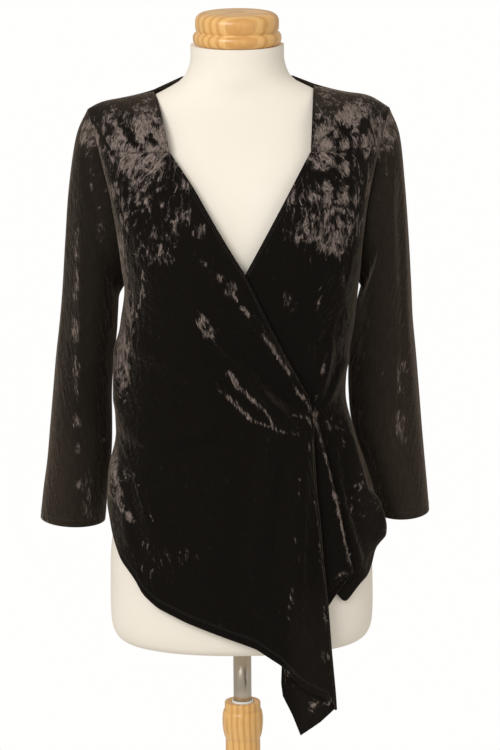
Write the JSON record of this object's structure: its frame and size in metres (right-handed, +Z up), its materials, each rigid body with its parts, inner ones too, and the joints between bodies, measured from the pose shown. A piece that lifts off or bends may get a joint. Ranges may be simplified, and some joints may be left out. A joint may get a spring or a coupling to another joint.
{
  "type": "crossover velvet blouse on limbless dress form",
  "caption": "Crossover velvet blouse with gathered yokes, knotted waist and falling tail, on a limbless dress form with neck cap, pole and turned stand.",
  "frame": {"origin": "middle of the underside of the stand's base, on the floor", "axes": "+Z up, -Y is the front of the blouse, +X is to the wearer's left"},
  "size_m": [0.505, 0.3, 1.6068],
  "materials": {
    "velvet": "crushed stretch velvet, black",
    "jersey": "smooth cream jersey cover",
    "pine": "varnished pine",
    "steel": "brushed",
    "guard": "white"
  },
  "bodies": {
    "root": {"front_overlap": "velvet", "front_underlap": "velvet", "cascade_tier": "velvet", "yoke_right": "velvet", "yoke_left": "velvet", "back_panel": "velvet", "sleeve_right": "velvet", "sleeve_left": "velvet", "form_torso": "jersey", "form_neck_cap": "pine", "stand_post": "pine", "stand_base": "pine", "stand_pole": "steel", "stand_pole_guard": "guard"}
  },
  "joints": []
}
